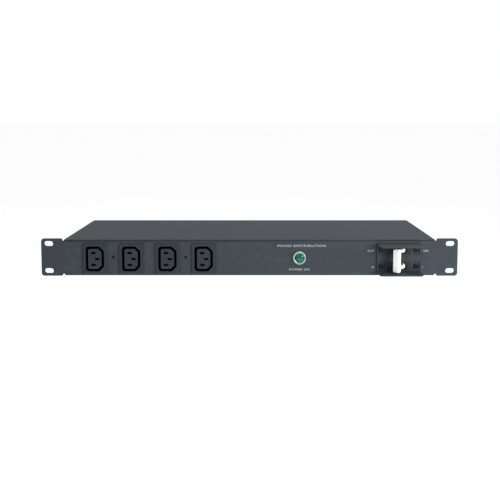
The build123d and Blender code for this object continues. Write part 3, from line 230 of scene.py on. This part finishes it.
def metal(name, colour, rough, brushed=None, tarnish=0.82):
    """Bare or plated metal: fine brushing or tumbling marks and patches of tarnish."""
    shade = Shade(name)
    patches = shade.stretch(shade.noise(220.0, detail=5.0), 0.4, 0.75)
    marks = shade.noise(3000.0, detail=2.0, stretch=brushed)
    shade.colour(shade.mix(patches, colour, scaled(colour, tarnish)))
    shade.rough(marks, rough - 0.07, rough + 0.09)
    shade.bump(marks, 0.02 * MM, strength=0.25)
    shade.set(Metallic=1.0)
    return shade.material


def insulation(name, colour, stripe=None):
    """Wire insulation, glossy with a faint drawn grain, and striped if it has a second colour."""
    shade = Shade(name)
    drawn = shade.noise(900.0, stretch=(0.15, 1.0, 1.0))
    body = shade.mix(drawn, scaled(colour, 0.85), scaled(colour, 1.12))
    if stripe:
        body = shade.mix(shade.stretch(shade.bands(60.0, "X"), 0.55, 0.6), body, stripe)
    shade.colour(body)
    shade.rough(drawn, 0.3, 0.42)
    shade.bump(drawn, 0.03 * MM, strength=0.3)
    return shade.material


def lens_green(name):
    """The lamp's translucent green lens, as cells of painted light and painted shade in green,
    standing for lit and shaded facets.
    """
    shade = Shade(name)
    lit_and_shaded_facets = shade.cells(430.0)
    # painted shade and painted light: dark and bright green, one per cell, for shaded and lit
    # facets
    shaded_green, lit_green = (0.0015, 0.028, 0.015), (0.008, 0.125, 0.070)
    shade.colour(shade.mix(shade.stretch(lit_and_shaded_facets, *NOISE_SPAN), shaded_green, lit_green))
    shade.rough(lit_and_shaded_facets, 0.08, 0.16)
    shade.bump(lit_and_shaded_facets, 0.06 * MM, strength=0.3)
    shade.set(IOR=1.49, Specular_IOR_Level=0.22)
    return shade.material


def envelope(name):
    """The neon's clear envelope, with faint draw lines."""
    shade = Shade(name)
    lines = shade.noise(300.0, stretch=(1.0, 0.2, 1.0))
    shade.colour(shade.mix(lines, (0.86, 0.87, 0.84), (0.95, 0.95, 0.92)))
    shade.rough(lines, 0.03, 0.1)
    shade.set(Transmission_Weight=0.85, IOR=1.5)
    return shade.material


def winding(name):
    """Enamelled copper wound in fine turns along the coil's axis, with painted shade in the gaps
    between turns.
    """
    shade = Shade(name)
    turns = shade.bands(180.0, "Y")
    wear = shade.noise(350.0, detail=4.0)
    copper = shade.mix(wear, (0.55, 0.2, 0.08), (0.72, 0.33, 0.16))
    # painted shade: the gaps between the turns are darkened
    shaded_gaps = (0.2, 0.06, 0.02)
    shade.colour(shade.mix(shade.stretch(turns, 0.0, 0.5), shaded_gaps, copper))
    shade.rough(wear, 0.25, 0.4)
    shade.bump(turns, 0.2 * MM, strength=0.6)
    shade.set(Metallic=0.9)
    return shade.material


def ink(name, colour):
    """Screen-printed ink, a little uneven in its cover."""
    shade = Shade(name)
    cover = shade.noise(FINE_GRAIN)
    shade.colour(shade.mix(shade.stretch(cover, 0.3, 0.62), scaled(colour, 0.72), colour))
    shade.rough(cover, 0.5, 0.62)
    shade.bump(cover, 0.02 * MM, strength=0.3)
    return shade.material


def floor_look(name):
    """A matt, nearly white floor with faint clouding."""
    shade = Shade(name)
    clouds = shade.noise(3.0)
    shade.colour(shade.mix(clouds, (0.965, 0.965, 0.965), (0.975, 0.975, 0.975)))
    shade.rough(clouds, 0.75, 0.85)
    return shade.material


LOOKS = {
    "black_paint": powder_coat("satin_black_powder_coat", (0.0255, 0.0305, 0.0365)),
    "black_steel": metal("blackened_screw_steel", (0.022, 0.022, 0.026), rough=0.5),
    "bright_steel": metal("zinc_plated_steel", (0.58, 0.58, 0.57), rough=0.3),
    "bus_metal": metal("tinned_brass", (0.66, 0.6, 0.47), rough=0.3, brushed=(0.1, 1.0, 1.0)),
    "contact_brass": metal("phosphor_bronze", (0.30, 0.23, 0.14), rough=0.4),
    "lamp_chrome": metal("bright_nickel", (0.36, 0.45, 0.43), rough=0.22, tarnish=0.7),
    "green_lens": lens_green("green_lens"),
    "clear_glass": envelope("neon_envelope"),
    "outlet_plastic": moulding(
        "outlet_moulding", (0.0165, 0.019, 0.025), rough=0.52, wear=0.5, shine=0.18,
        front=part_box("outlet_1_housing")[0].y,
    ),
    "inner_plastic": moulding("black_nylon", (0.02, 0.02, 0.023), rough=0.5),
    "breaker_case": moulding("breaker_moulding", (0.014, 0.015, 0.02), rough=0.4),
    "toggle_white": moulding(
        "white_toggle_moulding", (0.66, 0.68, 0.665), rough=0.36,
        grain_scale=900.0, grain_depth=0.02 * MM, lift=1.05, shine=0.4,
    ),
    "coil_copper": winding("enamelled_winding"),
    "brown_insulation": insulation("brown_insulation", (0.14, 0.055, 0.025)),
    "blue_insulation": insulation("blue_insulation", (0.025, 0.1, 0.38)),
    "green_insulation": insulation(
        "green_yellow_insulation", (0.05, 0.26, 0.05), stripe=(0.6, 0.52, 0.04)
    ),
    "lamp_insulation": insulation("grey_insulation", (0.24, 0.24, 0.24)),
    "crimp_sleeve": moulding("red_crimp_sleeve", (0.36, 0.045, 0.035), rough=0.35),
}
INK = ink("pale_print", (0.30, 0.33, 0.35))

# ---------------------------------------------------------------- the CAD nodes
MOULDED_EDGE = 0.3 * MM
SOFT_EDGES = {                  # the width of the bevel that breaks a node's sharp edges
    "chassis_base": 0.25 * MM,
    "top_cover": 0.3 * MM,
    "breaker_guard": 0.35 * MM,
    "lamp_body": 0.2 * MM,
    "inlet_housing": MOULDED_EDGE,
    "breaker_screws": 0.15 * MM,
    "outlet_screws": 0.12 * MM,
    "upper_toggle": 0.35 * MM,
    "lower_toggle": 0.35 * MM,
}
for number in range(1, 5):
    SOFT_EDGES[f"outlet_{number}_housing"] = MOULDED_EDGE
for pole in ("upper", "lower"):
    for half in ("top", "bottom"):
        SOFT_EDGES[f"{pole}_pole_{half}_shell"] = MOULDED_EDGE
WELD_DISTANCE = 0.002 * MM
SHARP_ANGLE = radians(40)       # edges that bend by less aren't bevelled

for part in frame["record"]["subparts"]:
    node = NODES[part["node"]]
    node.data.materials.clear()
    node.data.materials.append(LOOKS[part["material_slot"]])
    if part["node"] in SOFT_EDGES:
        weld = node.modifiers.new("weld", "WELD")
        weld.merge_threshold = WELD_DISTANCE
        bevel = node.modifiers.new("soft_edges", "BEVEL")
        bevel.width = SOFT_EDGES[part["node"]]
        bevel.segments = 2
        bevel.angle_limit = SHARP_ANGLE
        bevel.use_clamp_overlap = True
        bevel.harden_normals = False

# ---------------------------------------------------------------- the lamp's cut lens
LENS_SECTORS = 12
LENS_FALL = 1.4 * MM            # from the CAD lens's front back to the cut dome's rim
CROWN_FALL = 0.45               # the share of that fall at the middle, which is dimpled
LENS_RINGS = ((0.24, 0.30), (0.50, 0.42), (0.76, 0.78), (0.99, 1.0))    # shares of radius, fall


def cut_lens(node):
    """A domed lens cut in flat facets, in place of the plain one."""
    low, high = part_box(node)
    radius = (high.x - low.x) / 2
    centre_x, centre_z = (high.x + low.x) / 2, (high.z + low.z) / 2
    after = [(step + 1) % LENS_SECTORS for step in range(LENS_SECTORS)]
    shape = bmesh.new()
    crown = shape.verts.new((centre_x, low.y + CROWN_FALL * LENS_FALL, centre_z))
    rings = []
    for index, (share, fall) in enumerate(LENS_RINGS):
        turn = 0.5 * (index % 2)        # every other ring is turned by half a sector
        ring = []
        for step in range(LENS_SECTORS):
            angle = 2 * pi * (step + turn) / LENS_SECTORS
            place_x = centre_x + share * radius * cos(angle)
            place_z = centre_z + share * radius * sin(angle)
            ring.append(shape.verts.new((place_x, low.y + fall * LENS_FALL, place_z)))
        rings.append(ring)
    for step in range(LENS_SECTORS):
        shape.faces.new((crown, rings[0][step], rings[0][after[step]]))
    for index in range(len(rings) - 1):
        inner, outer = rings[index], rings[index + 1]
        shift = index % 2
        for step in range(LENS_SECTORS):
            near = outer[(step + shift) % LENS_SECTORS]
            far = outer[(after[step] + shift) % LENS_SECTORS]
            shape.faces.new((inner[step], near, inner[after[step]]))
            shape.faces.new((inner[after[step]], near, far))
    rim = rings[-1]
    back = [shape.verts.new((vert.co.x, high.y, vert.co.z)) for vert in rim]
    for step in range(LENS_SECTORS):
        shape.faces.new((rim[step], back[step], back[after[step]], rim[after[step]]))
    shape.faces.new(back)
    bmesh.ops.recalc_face_normals(shape, faces=shape.faces)
    mesh = bpy.data.meshes.new("cut_lens")
    shape.to_mesh(mesh)
    shape.free()
    mesh.materials.append(LOOKS["green_lens"])
    piece = bpy.data.objects.new("cut_lens", mesh)
    bpy.context.scene.collection.objects.link(piece)
    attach(piece, "chassis")
    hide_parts(node)


cut_lens("lamp_lens")

# ---------------------------------------------------------------- printed legends
CAPITAL_SHARE = 0.73            # of the font's size, that a capital is high
LETTER_SPACING = 1.12
INK_HALF_THICKNESS = 0.02 * MM
INK_OFFSET = 0.03 * MM          # from the panel's face out to the middle of the ink
TITLE_HEIGHT = 2.6 * MM
LETTER_HEIGHT = 2.4 * MM
TITLE_X = 60.5 * MM
TITLE_Z = 13.4 * MM
LAMP_WORDS_Z = -14.4 * MM
SWITCH_WORDS_Z = 7.5 * MM
SWITCH_SIGNS_Z = -11.6 * MM
OFF_TO_GUARD = 6.9 * MM         # from the middle of each print to the guard's nearer side
O_TO_GUARD = 4.5 * MM
ON_TO_GUARD = 7.0 * MM
I_TO_GUARD = 3.7 * MM


def legend(name, words, centre_x, centre_z, height, width=None):
    """Words printed on the panel, as a thin film of ink a hair in front of it."""
    face_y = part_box("chassis_base")[0].y
    curve = bpy.data.curves.new(name, "FONT")
    curve.body = words
    curve.size = height / CAPITAL_SHARE
    curve.align_x = "CENTER"
    curve.align_y = "CENTER"
    curve.space_character = LETTER_SPACING
    curve.extrude = INK_HALF_THICKNESS
    font = bpy.data.objects.new(name + "_font", curve)
    bpy.context.scene.collection.objects.link(font)
    bpy.context.view_layer.update()
    view = bpy.context.evaluated_depsgraph_get()
    mesh = bpy.data.meshes.new_from_object(font.evaluated_get(view))
    bpy.data.objects.remove(font)
    mesh.name = name
    xs = [vertex.co.x for vertex in mesh.vertices]
    ys = [vertex.co.y for vertex in mesh.vertices]
    stretch_x = width / (max(xs) - min(xs)) if width else 1.0
    stretch_z = height / (max(ys) - min(ys))
    middle = Vector(((max(xs) + min(xs)) / 2, (max(ys) + min(ys)) / 2, 0.0))
    mesh.transform(Matrix.Translation(-middle))
    mesh.transform(Matrix.Diagonal((stretch_x, stretch_z, 1.0, 1.0)))
    mesh.transform(Matrix.Rotation(radians(90), 4, "X"))
    mesh.transform(Matrix.Translation((centre_x, face_y - INK_OFFSET, centre_z)))
    mesh.materials.clear()
    mesh.materials.append(INK)
    piece = bpy.data.objects.new(name, mesh)
    bpy.context.scene.collection.objects.link(piece)
    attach(piece, "chassis")


lamp_low, lamp_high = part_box("lamp_body")
lamp_x = (lamp_low.x + lamp_high.x) / 2
guard_low, guard_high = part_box("breaker_guard")
off_x, on_x = guard_low.x - OFF_TO_GUARD, guard_high.x + ON_TO_GUARD
o_x, i_x = guard_low.x - O_TO_GUARD, guard_high.x + I_TO_GUARD
legend("legend_title", "MAINS DISTRIBUTION", TITLE_X, TITLE_Z, TITLE_HEIGHT, width=56.0 * MM)
legend("legend_power_on", "POWER ON", lamp_x, LAMP_WORDS_Z, LETTER_HEIGHT, width=23.6 * MM)
legend("legend_off", "OFF", off_x, SWITCH_WORDS_Z, LETTER_HEIGHT, width=7.4 * MM)
legend("legend_on", "ON", on_x, SWITCH_WORDS_Z, LETTER_HEIGHT, width=5.6 * MM)
legend("legend_o", "O", o_x, SWITCH_SIGNS_Z, LETTER_HEIGHT)
legend("legend_i", "I", i_x, SWITCH_SIGNS_Z, LETTER_HEIGHT)

# ---------------------------------------------------------------- stage
FLOOR_DROP = 0.45               # far enough below for no shadow of the part to show on it
FLOOR_SIZE = 80.0
low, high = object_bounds()
bpy.ops.mesh.primitive_plane_add(size=FLOOR_SIZE, location=(0.0, 0.0, low.z - FLOOR_DROP))
floor = bpy.context.object
floor.name = "floor"
floor.data.materials.append(floor_look("pale_floor"))

world = bpy.data.worlds.new("studio")
bpy.context.scene.world = world
world.use_nodes = True
background = world.node_tree.nodes["Background"]
background.inputs["Color"].default_value = (1.0, 1.0, 1.0, 1.0)
background.inputs["Strength"].default_value = 1.0


def softbox(name, place, target, width, height, watts):
    """A soft rectangular light at a place, turned towards a target."""
    data = bpy.data.lights.new(name, "AREA")
    data.shape = "RECTANGLE"
    data.size = width
    data.size_y = height
    data.energy = watts
    light = bpy.data.objects.new(name, data)
    light.location = place
    light.rotation_euler = (Vector(target) - Vector(place)).to_track_quat("-Z", "Y").to_euler()
    bpy.context.scene.collection.objects.link(light)


softbox("top_light", place=(0.3, 0.1, 1.2), target=(0.0, 0.0, 0.0),
        width=1.6, height=1.0, watts=7.0)
softbox("front_light", place=(0.75, -0.7, 0.25), target=(0.22, 0.0, 0.0),
        width=0.6, height=0.5, watts=13.0)

# ---------------------------------------------------------------- camera
CAMERA_DISTANCE = 0.664         # in front of the panel
CAMERA_HEIGHT = 0.162
CAMERA_X = 0.0064
PITCH = 4.0                     # degrees down from level
SENSOR_WIDTH = 36.0             # millimetres
FOCAL_SHARE = 1.162             # focal length as a share of the sensor's width
SHIFT_X = -0.010                # shares of the frame's width
SHIFT_Y = -0.1844
camera_data = bpy.data.cameras.new("camera")
camera_data.sensor_width = SENSOR_WIDTH
camera_data.lens = SENSOR_WIDTH * FOCAL_SHARE
camera_data.shift_x = SHIFT_X
camera_data.shift_y = SHIFT_Y
camera_data.clip_start = 0.01
camera = bpy.data.objects.new("camera", camera_data)
panel_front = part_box("chassis_base")[0].y
camera.location = (CAMERA_X, panel_front - CAMERA_DISTANCE, CAMERA_HEIGHT)
camera.rotation_euler = (radians(90.0 - PITCH), 0.0, 0.0)
bpy.context.scene.collection.objects.link(camera)
bpy.context.scene.camera = camera
bpy.context.scene.view_settings.view_transform = "Standard"
